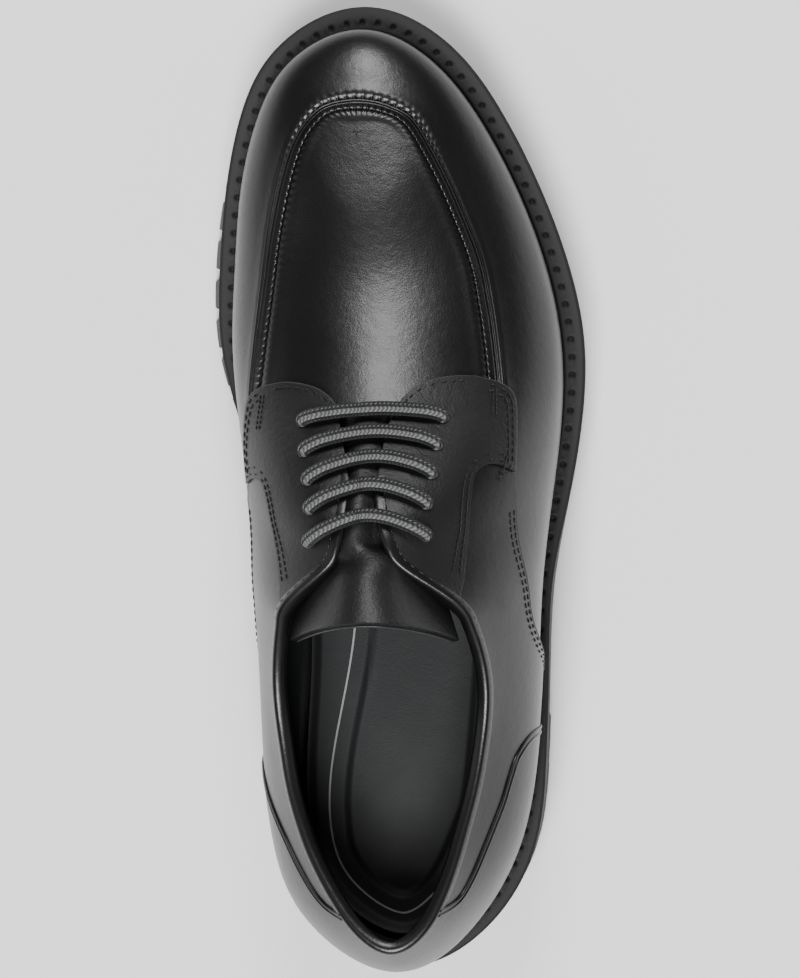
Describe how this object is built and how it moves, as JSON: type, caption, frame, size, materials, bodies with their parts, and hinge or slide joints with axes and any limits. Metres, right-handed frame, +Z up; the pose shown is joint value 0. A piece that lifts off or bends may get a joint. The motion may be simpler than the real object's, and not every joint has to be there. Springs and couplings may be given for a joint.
{
  "type": "lug sole oxford",
  "caption": "Black leather lace-up derby shoe for the right foot, with an apron toe, stitched welt, block heel and lugged rubber sole; hollow, and open at the collar.",
  "frame": {"origin": "centre of the bounding box in plan, on the floor that the sole stands on", "axes": "+Y from heel to toe, +X towards the outer (lateral) side of this right shoe, +Z up"},
  "size_m": [0.123, 0.3058, 0.1194],
  "materials": {
    "upper_leather": "black smooth leather, lightly polished",
    "facing_leather": "black soft-grain leather, matte",
    "sole_rubber": "black moulded rubber, matte",
    "footbed_leather": "black lining leather, matte",
    "lace_braid": "black and grey round braid"
  },
  "bodies": {
    "root": {"upper": "upper_leather", "counter": "upper_leather", "apron_seam": "upper_leather", "quarter_lateral": "upper_leather", "quarter_medial": "upper_leather", "facing_lateral": "facing_leather", "facing_medial": "facing_leather", "tongue": "facing_leather", "welt": "sole_rubber", "outsole": "sole_rubber", "heel": "sole_rubber", "insole": "footbed_leather", "lace_bar_1": "lace_braid", "lace_bar_2": "lace_braid", "lace_bar_3": "lace_braid", "lace_bar_4": "lace_braid", "lace_bar_5": "lace_braid"}
  },
  "joints": []
}
